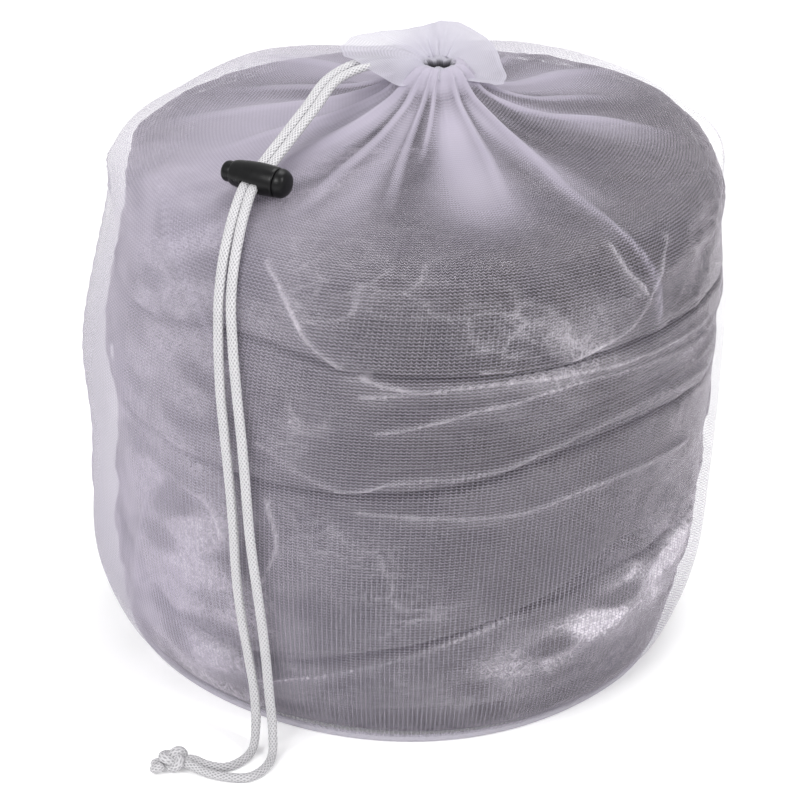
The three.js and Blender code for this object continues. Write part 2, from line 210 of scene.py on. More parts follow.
def spline(points, shares):
    """Smooth curve through points, at shares from 0 to 1 of its way."""
    points = np.array(points, float)
    last = len(points) - 1
    place = np.clip(np.asarray(shares, float), 0, 1) * last
    start = np.minimum(place.astype(int), last - 1)
    t = (place - start)[..., None]
    before, a, b, after = (points[np.clip(start + k, 0, last)] for k in (-1, 0, 1, 2))
    return hermite(a, b, (b - before) / 2, (after - a) / 2, t)


def table_curve(table, at):
    """Columns of a table, read smoothly at values of its first column."""
    table = np.array(table, float)
    dense = spline(table, steps(600))
    return [np.interp(at, dense[:, 0], dense[:, k]) for k in range(1, table.shape[1])]


def normals_of(points):
    """Outward normals of a closed grid whose rows go up and whose columns go round anticlockwise."""
    round_about = np.roll(points, -1, 1) - np.roll(points, 1, 1)
    up = np.gradient(points, axis=0)
    cross = np.cross(round_about, up)
    return cross / np.maximum(np.linalg.norm(cross, axis=-1, keepdims=True), 1e-9)


# ---- Shader helpers ----
class Shader:
    """Adds nodes to a new material. An input is a socket or a plain value."""

    def __init__(self, name):
        self.material = bpy.data.materials.new(name)
        self.material.use_nodes = True
        self.tree = self.material.node_tree
        self.tree.nodes.clear()
        self.output = self.tree.nodes.new("ShaderNodeOutputMaterial")

    def node(self, kind, inputs=None, **settings):
        node = self.tree.nodes.new("ShaderNode" + kind)
        for key, value in settings.items():
            setattr(node, key, value)
        for key, value in (inputs or {}).items():
            if isinstance(value, bpy.types.NodeSocket):
                self.tree.links.new(value, node.inputs[key])
            else:
                node.inputs[key].default_value = value
        return node

    def add(self, kind, inputs=None, **settings):
        """Adds a node and gives its first output."""
        return self.node(kind, inputs, **settings).outputs[0]

    def math(self, operation, a, b=0.0, clamp=False):
        return self.add("Math", {0: a, 1: b}, operation=operation, use_clamp=clamp)

    def times(self, a, b, clamp=False):
        return self.math("MULTIPLY", a, b, clamp)

    def plus(self, a, b, clamp=False):
        return self.math("ADD", a, b, clamp)

    def minus(self, a, b):
        return self.math("SUBTRACT", a, b)

    def stored(self, name):
        """A number that the mesh keeps for each of its points."""
        return self.node("Attribute", attribute_name=name).outputs["Fac"]

    def span(self, value, low, high, to_low=0.0, to_high=1.0):
        inputs = {"Value": value, "From Min": low, "From Max": high, "To Min": to_low, "To Max": to_high}
        return self.add("MapRange", inputs)

    def noise(self, scale, detail=4.0, roughness=0.55, vector=None):
        inputs = {"Scale": scale, "Detail": detail, "Roughness": roughness}
        inputs["Vector"] = vector or self.node("TexCoord").outputs["Object"]
        return self.add("TexNoise", inputs)

    def blend(self, share, a, b):
        return self.node("Mix", {0: share, 6: a, 7: b}, data_type="RGBA").outputs[2]

    def bump(self, height, strength, distance):
        inputs = {"Height": height, "Strength": strength, "Distance": distance}
        return self.add("Bump", inputs)

    def mix(self, share, a, b):
        return self.add("MixShader", {0: share, 1: a, 2: b})

    def finish(self, surface):
        self.tree.links.new(surface, self.output.inputs["Surface"])
        return self.material

    def principled(self, inputs):
        return self.finish(self.add("BsdfPrincipled", inputs))

    def flat_position(self):
        """The two flat directions of the cloth, from the mesh's uv."""
        uv = self.add("UVMap", uv_map="flat")
        parts = self.node("SeparateXYZ", {0: uv})
        return parts.outputs[0], parts.outputs[1]


def wave_share(s, value, shift):
    """Distance from the middle of a repeat, 0 at its middle and 1 at its edge."""
    part = s.math("FRACT", s.plus(value, shift))
    return s.times(s.math("ABSOLUTE", s.minus(part, 0.5)), 2.0)


def ridge_share(s, value, width):
    """1 where a noise passes through its middle value, falling to 0 a width away from it."""
    return s.span(s.math("ABSOLUTE", s.minus(value, 0.5)), 0.0, width, 1.0, 0.0)


def net_material(name, tint, translucence=0.35, thread=0.2, lowest_alpha=0.0):
    """Knitted net: zig-zag courses and upright wales, with holes that close up where it is gathered, and
    painted shade down inside the mouth's throat.
    """
    s = Shader(name)
    across, up = s.flat_position()
    wale = s.times(across, WALES)
    course = s.times(up, 1000 / COURSE)
    zigzag = s.times(s.math("PINGPONG", wale, 0.5), 1.1)
    row_edge = wave_share(s, course, zigzag)
    sway = s.times(s.math("SINE", s.times(course, TURN)), 0.07)
    wale_edge = wave_share(s, wale, sway)
    row_thread = s.span(row_edge, 1 - thread, 1 - thread + 0.2)
    wale_start = s.span(up, 0.08, 0.27, 0.97 - thread, 1.09 - thread)
    wale_thread = s.times(s.minus(wale_edge, wale_start), 5.0, clamp=True)
    thread_here = s.math("MAXIMUM", row_thread, s.times(wale_thread, 0.75))
    gather = s.stored("gather")
    opening = s.math("POWER", 0.72, s.minus(gather, 1.0))
    strength = s.span(up, 0.05, 0.2, 0.52, 0.7)
    haze = s.span(up, 0.05, 0.2, 0.95, 1.0)
    between_threads = s.minus(1.0, s.times(thread_here, strength))
    hole = s.times(s.times(between_threads, haze), opening)
    alpha = s.math("MAXIMUM", s.minus(1.0, hole), lowest_alpha)
    patchy = s.noise(30.0)
    plain = s.blend(patchy, (*tint, 1), (tint[0] * 0.93, tint[1] * 0.93, tint[2] * 0.97, 1))
    # Painted shade: the colour goes nearly black down inside the mouth's throat, where shade would fall.
    painted_throat_shade = s.stored("painted_throat_shade")
    colour = s.blend(painted_throat_shade, plain, (0.05, 0.045, 0.055, 1))
    normal = s.bump(thread_here, 0.25, 0.0003)
    cloth = {
        "Base Color": colour,
        "Roughness": 0.85,
        "Specular IOR Level": 0.15,
        "Sheen Weight": 0.2,
        "Sheen Roughness": 0.4,
        "Normal": normal,
    }
    face = s.add("BsdfPrincipled", cloth)
    glow = s.add("BsdfTranslucent", {"Color": colour, "Normal": normal})
    body = s.mix(translucence, face, glow)
    clear = s.add("BsdfTransparent")
    return s.finish(s.mix(alpha, clear, body))


def cord_material():
    """White braided polyester: two crossing families of yarn, each of fine filaments, with painted shade in
    the valleys between the yarns.
    """
    s = Shader("braided_cord")
    across, along = s.flat_position()
    round_about = s.times(across, 8 * TURN)
    twist = s.times(along, 2400.0)
    one = s.math("SINE", s.plus(round_about, twist))
    two = s.math("SINE", s.minus(round_about, twist))
    yarn = s.math("MAXIMUM", one, two)
    filament = s.noise(2600.0, 2.0)
    height = s.plus(yarn, s.times(filament, 0.5))
    # Painted shade: the colour darkens from the yarns' crowns into the valleys between them.
    painted_valley_shade = s.span(yarn, -0.6, 0.7)
    colour = s.blend(painted_valley_shade, (0.34, 0.335, 0.35, 1), (0.61, 0.60, 0.62, 1))
    inputs = {
        "Base Color": colour,
        "Roughness": 0.6,
        "Sheen Weight": 0.3,
        "Sheen Roughness": 0.35,
        "Subsurface Weight": 0.08,
        "Subsurface Radius": (0.002, 0.002, 0.002),
        "Normal": s.bump(height, 0.7, 0.0004),
    }
    return s.principled(inputs)


def plastic_material():
    """Satin black moulded plastic with a fine spark-eroded grain."""
    s = Shader("lock_plastic")
    grain = s.noise(2400.0, 3.0)
    smudge = s.noise(160.0, 3.0)
    inputs = {
        "Base Color": s.blend(smudge, (0.003, 0.003, 0.0035, 1), (0.007, 0.007, 0.0075, 1)),
        "Roughness": s.span(smudge, 0.3, 0.7, 0.26, 0.36),
        "Specular IOR Level": 0.22,
        "Normal": s.bump(grain, 0.12, 0.0002),
    }
    return s.principled(inputs)


def steel_material():
    s = Shader("spring_steel")
    drawn = s.noise(900.0, 2.0)
    inputs = {
        "Base Color": (0.55, 0.56, 0.58, 1),
        "Metallic": 1.0,
        "Roughness": s.span(drawn, 0.3, 0.7, 0.22, 0.38),
    }
    return s.principled(inputs)


def garment_material():
    """Dark woven cloth, blue-black on the left and a warmer grey on the right, with a fine twill."""
    s = Shader("dark_cloth")
    place = s.node("TexCoord").outputs["Object"]
    side = s.add("SeparateXYZ", {0: place})
    patch = s.noise(9.0, 3.0, vector=place)
    warm = s.span(s.plus(side, s.times(patch, 0.16)), 0.06, 0.14)
    base = s.blend(warm, (0.013, 0.011, 0.020, 1), (0.028, 0.022, 0.021, 1))
    worn = s.noise(60.0, 5.0)
    colour = s.blend(s.span(worn, 0.35, 0.75), base, (0.030, 0.027, 0.035, 1))
    weave = {"Vector": place, "Scale": 900.0, "Distortion": 1.5, "Detail": 2.0}
    twill = s.node("TexWave", weave, bands_direction="DIAGONAL")
    inputs = {
        "Base Color": colour,
        "Roughness": 0.85,
        "Sheen Weight": 0.12,
        "Sheen Roughness": 0.5,
        "Normal": s.bump(twill.outputs["Fac"], 0.3, 0.0003),
    }
    return s.principled(inputs)


def film_material():
    """Thin clear film: glossy, with highlights painted as milky white along its creases, and cloudy where
    it is bunched up, partly its own haze and partly painted highlight.
    """
    s = Shader("clear_film")
    crease = s.stored("crease")
    cloud_and_highlight = s.stored("cloud_and_highlight")
    fine = s.noise(260.0, 6.0, 0.7)
    wrinkle = ridge_share(s, s.noise(95.0, 6.0, 0.62), 0.035)
    small_wrinkle = ridge_share(s, s.noise(290.0, 3.0, 0.6), 0.05)
    crinkle = s.math("MAXIMUM", wrinkle, s.times(small_wrinkle, 0.7))
    normal = s.bump(s.plus(fine, s.times(crinkle, 0.5)), 0.4, 0.0012)
    shine = s.add("Fresnel", {"IOR": 1.38, "Normal": normal})
    polish = {"Color": (1.0, 0.95, 1.0, 1), "Roughness": 0.15, "Normal": normal}
    gloss = s.add("BsdfGlossy", polish)
    milk = s.add("BsdfDiffuse", {"Color": (0.83, 0.79, 0.84, 1), "Normal": normal})
    clear = s.add("BsdfTransparent", {"Color": (0.95, 0.95, 0.96, 1)})
    # The cloud value is partly the bunched film's own haze and partly painted highlight.
    torn = s.plus(s.times(crinkle, 0.6), 0.45)
    cloudy_and_highlit = s.times(s.times(cloud_and_highlight, torn), 1.15)
    # Painted highlights: along the creases and crinkles the film is mixed towards the milky white shader,
    # where light would glint.
    lines = s.times(crease, s.plus(s.times(fine, 1.1), 0.15))
    milkiness_and_painted_highlights = s.plus(s.plus(cloudy_and_highlit, lines), s.times(crinkle, 0.055), clamp=True)
    shell = s.mix(milkiness_and_painted_highlights, clear, milk)
    reflect = s.times(shine, 1.1, clamp=True)
    return s.finish(s.mix(reflect, shell, gloss))


NET = net_material("white_net", (0.596, 0.557, 0.64))
HEM = net_material("hem_net", (0.655, 0.635, 0.695), translucence=0.45, thread=0.6, lowest_alpha=0.55)
TAPE = net_material("woven_tape", (0.62, 0.595, 0.65), translucence=0.25, thread=0.8, lowest_alpha=0.75)
CORD = cord_material()
PLASTIC = plastic_material()
STEEL = steel_material()
CLOTH = garment_material()
FILM = film_material()


def place(piece, body, material, slot, *nodes):
    """Gives a piece its material and CAD body, and hides the CAD nodes that it stands for. The slot is not
    used.
    """
    piece.data.materials.clear()
    piece.data.materials.append(material)
    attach(piece, body)
    if nodes:
        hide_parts(*nodes)
    return piece


# ---- Free cord ----
def centripetal(points, step):
    """Points about `step` mm apart on the smooth curve through the given ones."""
    points = [Vector(p) for p in points]
    points = [2 * points[0] - points[1], *points, 2 * points[-1] - points[-2]]
    made = []
    for p0, p1, p2, p3 in zip(points, points[1:], points[2:], points[3:]):
        d0, d1, d2 = ((b - a).length ** 0.5 for a, b in ((p0, p1), (p1, p2), (p2, p3)))
        leave = ((p1 - p0) / d0 - (p2 - p0) / (d0 + d1) + (p2 - p1) / d1) * d1
        arrive = ((p2 - p1) / d1 - (p3 - p1) / (d1 + d2) + (p3 - p2) / d2) * d1
        for t in np.arange(24) / 24:
            made.append(hermite(p1, p2, leave, arrive, t))
    made.append(points[-2])
    return even(np.array(made), step)


def even(line, step):
    """The same line with its points evenly spaced."""
    reach = reach_along(line)
    at = np.linspace(0, reach[-1], max(2, round(reach[-1] / step) + 1))
    return np.stack([np.interp(at, reach, line[:, k]) for k in range(3)], 1)


def tube(name, line, radius, sides, closed=False, braid=0.0, flat=0.0, wide=(1, 0, 0)):
    """A tube along a line, with round ends unless it is closed.

    Its crossing yarns stand `braid` high. It is wider than round by `flat` along the direction `wide`.
    """
    count = len(line)
    if closed:
        tangents = np.roll(line, -1, 0) - np.roll(line, 1, 0)
    else:
        tangents = np.gradient(line, axis=0)
    tangents /= np.linalg.norm(tangents, axis=1, keepdims=True)
    side = np.cross(tangents[0], (0.3, 0.2, 1.0))
    reach = reach_along(line)
    angle = TURN * np.arange(sides) / sides
    rings = np.zeros((count, sides, 3))
    for k in range(count):
        side = side - tangents[k] * (side @ tangents[k])
        side /= np.linalg.norm(side)
        other = np.cross(tangents[k], side)
        yarn = np.maximum(np.sin(6 * angle + 2.1 * reach[k]), np.sin(6 * angle - 2.1 * reach[k]))
        from_end = min(reach[k], reach[-1] - reach[k])
        tip = 1.0 if closed else math.sqrt(max(0.05, 1 - max(0.0, 1 - from_end / radius) ** 2))
        turned = math.atan2(other @ np.array(wide), side @ np.array(wide))
        above = flat * float(smooth(line[k][2], 6, 20))
        size = (radius + braid * (yarn - 0.6)) * tip * (1 + above * np.cos(2 * (angle - turned)))
        rings[k] = line[k] + np.outer(np.cos(angle) * size, side) + np.outer(np.sin(angle) * size, other)
    uv = flat_grid(steps(sides + 1), reach * MM)
    uv = np.concatenate([uv, uv[-1:]])
    return grid_object(name, rings, uv, looped=closed, caps=not closed)


lock_axis = (LOCK_AXIS_ROUGH - LOCK_AXIS_ROUGH.dot(CORD_WAY) * CORD_WAY).normalized()
lock_up = lock_axis.cross(CORD_WAY)

LEFT_ROUTE_UP = [(-1.4, 9, 291.6), (-14.4, -2.4, 294.6)]
RIGHT_ROUTE_UP = [(0.9, 2.2, 291.4), (-9.8, -7.9, 294.6)]
STRAIGHT_STRETCH = [70, 50, 30, 8, 0, -8]
LEFT_ROUTE_DOWN = [
    (-74.5, -113, 249.5), (-77, -128.5, 233), (-77.5, -135.5, 212), (-77, -139.5, 190),
    (-75.5, -142, 168), (-74, -143, 145), (-73, -143, 122), (-72.5, -141.5, 98),
    (-71, -140, 76), (-68.5, -139, 54), (-66, -139.5, 33), (-65.5, -141, 15),
    (-67, -145.5, 4.2), (-71, -152.5, 2.6), (-79, -158.6, 2.6), (-88, -157, 2.7),
    (-95.0, -154.8, 4.4),
]
RIGHT_ROUTE_DOWN = [
    (-69.5, -115, 249.8), (-71.6, -131, 233), (-71, -138.5, 212), (-69.5, -143, 190),
    (-67.8, -146, 168), (-66.6, -147, 145), (-65.5, -147.2, 122), (-63.5, -146.3, 98),
    (-61.5, -144.8, 76), (-60, -142.8, 54), (-58.8, -142.5, 33), (-57.6, -144, 15),
    (-57.6, -150, 4.2), (-60.5, -159, 2.6), (-68, -166.6, 2.6), (-79, -166.2, 2.6),
    (-88.5, -162.6, 2.7), (-94.8, -160, 4.4),
]
KNOT_CENTRE = Vector((-103.4, -157.4, 6.6))
KNOT_ENTRY = (-99.5, -157.2, 5.2)


def add_strand(hand, side, up, down):
    """One strand: out of the mouth, straight through the lock, down the drum and into the knot."""
    beside = lock_axis * (side * STRAND_PITCH / 2)
    straight = [LOCK_CENTRE + CORD_WAY * distance + beside for distance in STRAIGHT_STRETCH]
    line = centripetal([*up, *straight, *down, KNOT_ENTRY], 0.6)
    piece = tube(f"braided_strand_{hand}", line, CORD_RADIUS, 28, braid=0.12, flat=0.15, wide=lock_axis)
    place(piece, "bag", CORD, "cord", f"cord_strand_{hand}")
    return piece, line


def add_knot():
    """Both strands tied into one tight overhand knot, round a core that fills it."""
    turn = Matrix.Rotation(math.radians(14), 3, "Z") @ Matrix.Rotation(math.radians(38), 3, "X")
    t = TURN * np.arange(260) / 260 + 0.4
    across = 1.75 * (np.sin(t) + 2 * np.sin(2 * t))
    along = 1.3 * (np.cos(t) - 2 * np.cos(2 * t))
    loop = np.stack([across, along, -2.1 * np.sin(3 * t)], 1)
    core = np.stack([np.linspace(-4.5, 4.5, 30), 0.6 * np.sin(np.linspace(0, 3, 30)), np.zeros(30)], 1)
    pieces = []
    tubes = (("overhand_knot", loop, 2.35, True), ("knot_core", core, 3.0, False))
    for name, line, radius, closed in tubes:
        moved = np.array([turn @ Vector(p) + KNOT_CENTRE for p in line])
        moved[:, 2] = np.maximum(moved[:, 2], radius + 0.1)
        pieces.append(tube(name, moved, radius, 24, closed=closed, braid=0.12))
    joined = join(pieces)
    place(joined, "bag", CORD, "cord", "end_knot")
    return joined


def join(pieces):
    bpy.ops.object.select_all(action="DESELECT")
    for piece in pieces:
        piece.select_set(True)
    bpy.context.view_layer.objects.active = pieces[0]
    bpy.ops.object.join()
    return bpy.context.view_layer.objects.active


def add_stub(hand, side):
    start = np.array([-107.6, -159.0 + 1.8 * side, 4.8])
    end = start + (-6.6, 0.3 * side - 0.9, -1.6)
    line = even(np.array([start, (start + end) / 2 + (0, 0.3 * side, 0.3), end]), 0.5)
    piece = tube(f"cut_end_{hand}", line, CORD_RADIUS * 0.98, 24, braid=0.12)
    for vertex in piece.data.vertices:
        if vertex.co.x < (end[0] + 1.4) * MM:
            fray = noise.noise_vector(vertex.co / (0.8 * MM))
            vertex.co += fray * (0.35 * MM)
    return place(piece, "bag", CORD, "cord", f"cord_end_{hand}")


strand_left, left_line = add_strand("left", -1, LEFT_ROUTE_UP, LEFT_ROUTE_DOWN)
strand_right, right_line = add_strand("right", 1, RIGHT_ROUTE_UP, RIGHT_ROUTE_DOWN)
knot = add_knot()
stub_left = add_stub("left", 1)
stub_right = add_stub("right", -1)


# ---- Cord lock ----
lock_frame = Matrix((lock_axis, CORD_WAY, lock_up)).transposed().to_4x4()
lock_frame.translation = LOCK_CENTRE * MM


def lathe(name, profile, hollow):
    """A body turned about the lock's axis. A hollow one's profile is a loop."""
    profile = np.array(profile, float)
    angle = angles(72)
    along = profile[:, :1] + 0 * angle
    points = np.stack([along, profile[:, 1:] * np.cos(angle), profile[:, 1:] * np.sin(angle)], -1)
    made = grid_object(name, points, looped=hollow, caps=not hollow)
    fix_normals(made)
    made.data.set_sharp_from_angle(angle=math.radians(38))
    made.matrix_world = lock_frame
    return made


def fix_normals(piece):
    edit = bmesh.new()
    edit.from_mesh(piece.data)
    bmesh.ops.recalc_face_normals(edit, faces=edit.faces)
    edit.to_mesh(piece.data)
    edit.free()


def rounded(corners, radius, hollow=False):
    """The outline with its corners turned into short curves, in four steps each."""
    corners = [np.array(c, float) for c in corners]
    count = len(corners)
    made = []
    for k, corner in enumerate(corners):
        if not hollow and k in (0, count - 1):
            made.append(corner)
            continue
        before, after = corners[k - 1], corners[(k + 1) % count]
        reach_in = min(radius, 0.45 * np.linalg.norm(before - corner))
        reach_out = min(radius, 0.45 * np.linalg.norm(after - corner))
        start = corner + (before - corner) * reach_in / np.linalg.norm(before - corner)
        end = corner + (after - corner) * reach_out / np.linalg.norm(after - corner)
        for t in (0, 0.33, 0.67, 1):
            made.append((1 - t) ** 2 * start + 2 * t * (1 - t) * corner + t**2 * end)
    return made


def cut_slot(piece, low, high):
    """Cuts the way through for the cords, between two positions along the barrel."""
    half_width = 2.7
    bpy.ops.mesh.primitive_cube_add(size=1)
    cutter = bpy.context.active_object
    size = Vector((high - low, 26, 2 * half_width)) * MM
    cutter.data.transform(Matrix.Diagonal((*size, 1)))
    cutter.matrix_world = lock_frame @ Matrix.Translation(Vector(((low + high) / 2, 0, 0)) * MM)
    bevel = cutter.modifiers.new("round", "BEVEL")
    bevel.width = 1.1 * MM
    bevel.segments = 4
    apply_modifier(cutter, bevel)
    boolean = piece.modifiers.new("slot", "BOOLEAN")
    boolean.object = cutter
    boolean.solver = "EXACT"
    apply_modifier(piece, boolean)
    bpy.data.objects.remove(cutter)
    piece.data.set_sharp_from_angle(angle=math.radians(38))


def apply_modifier(piece, modifier):
    with bpy.context.temp_override(object=piece, active_object=piece):
        bpy.ops.object.modifier_apply(modifier=modifier.name)


def add_lock():
    """Barrel with a cross slot, domed cap with a groove ring, and the plunger with its button."""
    barrel_outline = [
        (-12, 5.25), (-12, 5.75), (-10, 6.2), (-5, 6.85), (1, 7.3), (6, 7.3),
        (10.6, 7.0), (11.6, 6.5), (11.6, 4.2), (-7.4, 4.2), (-7.4, 5.25),
    ]
    barrel = lathe("barrel", rounded(barrel_outline, 0.55, hollow=True), hollow=True)
    cut_slot(barrel, -LOCK_SLOT, LOCK_SLOT)
    cap_outline = [
        (10.7, 0.01), (10.7, 3.85), (11.9, 3.85), (11.9, 6.45), (12.35, 6.45), (12.5, 6.95),
        (14.4, 6.6), (16.4, 5.3), (17.3, 3.2), (17.5, 0.01),
    ]
    cap = lathe("domed_cap", rounded(cap_outline, 1.0), hollow=False)
    button_outline = [
        (-17.5, 0.01), (-17.5, 2.6), (-17.0, 4.0), (-15.8, 4.9), (-12.6, 4.9), (-11.8, 4.5),
        (-11.8, 3.85), (6.3, 3.85), (6.3, 0.01),
    ]
    plunger = lathe("plunger", rounded(button_outline, 0.8), hollow=False)
    cut_slot(plunger, -BUTTON_SLOT, LOCK_SLOT)
    place(barrel, "lock", PLASTIC, "lock_plastic", "lock_barrel")
    place(cap, "lock", PLASTIC, "lock_plastic", "lock_cap")
    place(plunger, "button", PLASTIC, "lock_plastic", "lock_plunger")
    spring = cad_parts["lock_spring"]
    spring.data.materials.clear()
    spring.data.materials.append(STEEL)
    return [barrel, cap, plunger, spring]


lock_pieces = add_lock()


# ---- The filled drum ----
PROFILE_LINE = spline(SIDE_PROFILE, steps(400))
PROFILE_REACH = reach_along(PROFILE_LINE)


def lean(height):
    """How far the bag's middle leans to +X at a height."""
    return -1 + 23 * (np.maximum(height, 0) / 300) ** 2.4


# How far the wall bulges to the left and to the right: height, mm.
LEFT_BULGE = [(0, 0), (45, 0), (75, -3.5), (108, -7), (150, -3), (185, -5), (222, -8.5), (245, 0), (300, 0)]
RIGHT_BULGE = [(0, 4.5), (25, 6), (52, 8.5), (90, 5), (140, 1), (195, -3.5), (218, -5), (240, 0), (300, 0)]


def outline(angle, radius, height):
    """The drum isn't quite round: it has soft corners at the floor and at the back of the shoulder."""
    low = bell(height, 60)
    high = smooth(height, 185, 238) * smooth(radius, 60, 140)
    corner = 3.5 * np.cos(3 * (angle + math.radians(70))) + 3 * hill(angle, -28, 16) - 1.5
    shoulder = 10 * hill(angle, 152, 26) + 8 * hill(angle, 45, 32)
    shoulder = shoulder + 4 * hill(angle, 95, 30) + 5 * hill(angle, 125, 16)
    sides = hill(angle, 178, 34) * table_curve(LEFT_BULGE, height)[0]
    sides = sides + hill(angle, 342, 36) * table_curve(RIGHT_BULGE, height)[0]
    return radius + low * corner + high * shoulder + sides * smooth(radius, 60, 130)


def drum_points(angle, share):
    """Smooth points of the net, and their profile radius and height."""
    at = share * PROFILE_REACH[-1]
    radius = np.interp(at, PROFILE_REACH, PROFILE_LINE[:, 0])
    height = np.interp(at, PROFILE_REACH, PROFILE_LINE[:, 1])
    reach = outline(angle, radius, height)
    lift = smooth(height, 215, 250) * smooth(radius, 30, 90)
    lift = lift * (3.5 * hill(angle, 128, 22) + 4.5 * hill(angle, 56, 26))
    return round_points(lean(height), reach, angle, height + lift), radius, height


# Folds from the mouth: angle at the mouth, angle at the shoulder, height, half width, end radius.
FOLDS = [
    (-144, -142, 3.4, 9, 150), (-122, -122, 3.0, 5, 125), (-104, -101, 3.2, 4, 105), (-92, -98, 2.2, 3, 62),
    (-61, -68, 3.4, 5, 108), (-40, -50, 4.0, 5, 150), (-14, 2, 3.6, 5, 130), (12, 22, 2.6, 5, 110),
    (33, 40, 3.2, 6, 140), (56, 62, 2.4, 5, 105), (78, 84, 3.2, 6, 140), (100, 106, 2.4, 5, 100),
    (122, 130, 3.2, 6, 135), (146, 152, 2.6, 6, 120), (168, 170, 3.0, 6, 140), (190, 194, 2.4, 5, 115),
]

# Long creases where the loose net is folded over itself: (angle, height) points.
CREASES = [
    [(193, 252), (203, 250), (212, 247), (228, 229), (236, 209), (243, 188)],
    [(170, 240), (176, 214), (181, 170), (186, 120), (190, 70)],
    [(310, 257), (311, 250), (313, 238), (315, 224), (317, 200)],
    [(20, 246), (14, 225), (10, 190), (8, 150)],
    [(70, 240), (74, 200), (71, 150)],
    [(125, 238), (121, 190), (124, 130), (128, 80)],
    [(222, 120), (216, 80), (212, 40)],
]


# Places where the cloth lies double between the folds: angle, half width, how much.
DOUBLE_CLOTH = [
    (-168, 20, 1.5), (-142, 9, 1.2), (-112, 6, 0.8), (-75, 11, 1.9), (-47, 5, 1.0),
    (-2, 8, 0.9), (36, 12, 1.0), (82, 12, 1.0), (128, 12, 1.0), (170, 10, 1.0),
]


def fold_field(angle, radius):
    """Height of the folds in mm, and how much they double the cloth."""
    rise, double = 0.0, 0.0
    for mouth, shoulder, height, width, end in FOLDS:
        middle = np.radians(mouth + (shoulder - mouth) * smooth(radius, 20, 100))
        away = np.abs(turned_from(angle, middle)) * radius
        fade = smooth(radius, 4, 15) * fall(radius, 0.55 * end, end)
        wide = width * (0.45 + 0.55 * smooth(radius, 15, 90))
        rise = rise + height * fade * bell(away, wide, 1.25)
        double = double + fade * bell(away, 0.62 * wide, 4)
    spread = smooth(radius, 16, 40) * fall(radius, 80, 128)
    for middle, width, much in DOUBLE_CLOTH:
        double = double + much * spread * hill(angle, middle, width)
    return rise, double


def crease_field(angle, height):
    """Height of the long creases in mm, and how much they double the cloth."""
    rise, double = 0.0, 0.0
    for points in CREASES:
        dense = spline(points, steps(60))
        order = np.argsort(dense[:, 1])
        middle = np.radians(np.interp(height, dense[order, 1], dense[order, 0]))
        away = np.abs(turned_from(angle, middle)) * 150
        low, high = dense[:, 1].min(), dense[:, 1].max()
        fade = smooth(height, low, low + 18) * fall(height, high - 6, high + 4)
        rise = rise + 2.0 * fade * bell(away, 5, 1.2)
        double = double + fade * bell(away, 1.3)
    return rise, double


def net_layer(depth):
    """Grid of the net's points at a depth, its flat uv, and how many times it is gathered at each point."""
    angle = angles(NET_SEGMENTS)
    share = steps(NET_ROWS)[:, None]
    points, radius, height = drum_points(angle, share)
    normal = normals_of(points)
    rise, double = fold_field(angle, radius)
    crease_rise, crease_double = crease_field(angle, height)
    crease_on = smooth(radius, 95, 125)
    on_wall = smooth(height, 6, 40) * smooth(radius, 60, 120)
    slack = 0.6 + 1.3 * hill(angle, 190, 55) + 0.8 * hill(angle, 90, 50)
    drape = slack * waves(angle, height, 11, 9, 260) + 0.35 * waves(angle, height, 12, 26, 90)
    tent = smooth(radius, 12, 26) * fall(radius, 40, 85)
    fine = 0.55 * tent * waves(angle, 0.25 * radius, 13, 46, 60, 14)
    pucker = 0.5 * bell(height, 9) * waves(angle, height, 14, 90, 40, 12)
    tuck = 0.5 * fall(radius, 8, 9.5)
    move = rise + crease_on * crease_rise + on_wall * drape + fine + pucker - 2.2 * tent - tuck - depth
    points = points + normal * move[..., None]
    points[..., 2] = np.maximum(points[..., 2], 1.2)
    gather = np.clip(BAG_ROUND / (TURN * np.maximum(radius, 14)), 1, 9) + 0 * angle
    even_share = fall(radius, 12, 21)
    gather = 1 + (gather - 1) * (even_share + (1 - even_share) * (0.06 + 0.85 * double))
    gather = gather + 0.5 * double * smooth(radius, 40, 80) + 1.1 * crease_on * crease_double
    gather = gather + 1.4 * on_wall * hill(angle, 206, 33)
    gather = gather + 0.9 * smooth(height, 225, 248) * smooth(radius, 50, 80) * hill(angle, 110, 62)
    gather = gather + 0.25 * tent * waves(angle, radius, 15, 30, 60)
    gather = np.maximum(gather, 1.0)
    uv = flat_grid(steps(NET_SEGMENTS + 1), share[:, 0] * PROFILE_REACH[-1] * MM)
    return points, uv, gather


def add_side_net():
    """The net tube of the bag's side, with an outer and an inner face."""
    outer, uv, gather = net_layer(0)
    inner, _, _ = net_layer(NET_THICKNESS)
    faces, corners = grid_parts(outer, uv, True)
    more, more_corners = grid_parts(inner, uv, True, first=outer.shape[0] * outer.shape[1])
    points = np.vstack([outer.reshape(-1, 3), inner.reshape(-1, 3)])
    corners = np.vstack([corners, more_corners])
    values = {"gather": np.concatenate([gather.ravel(), gather.ravel()])}
    piece = mesh_object("side_net", points, faces + more, corners, values)
    return place(piece, "bag", NET, "net", "side_panel")


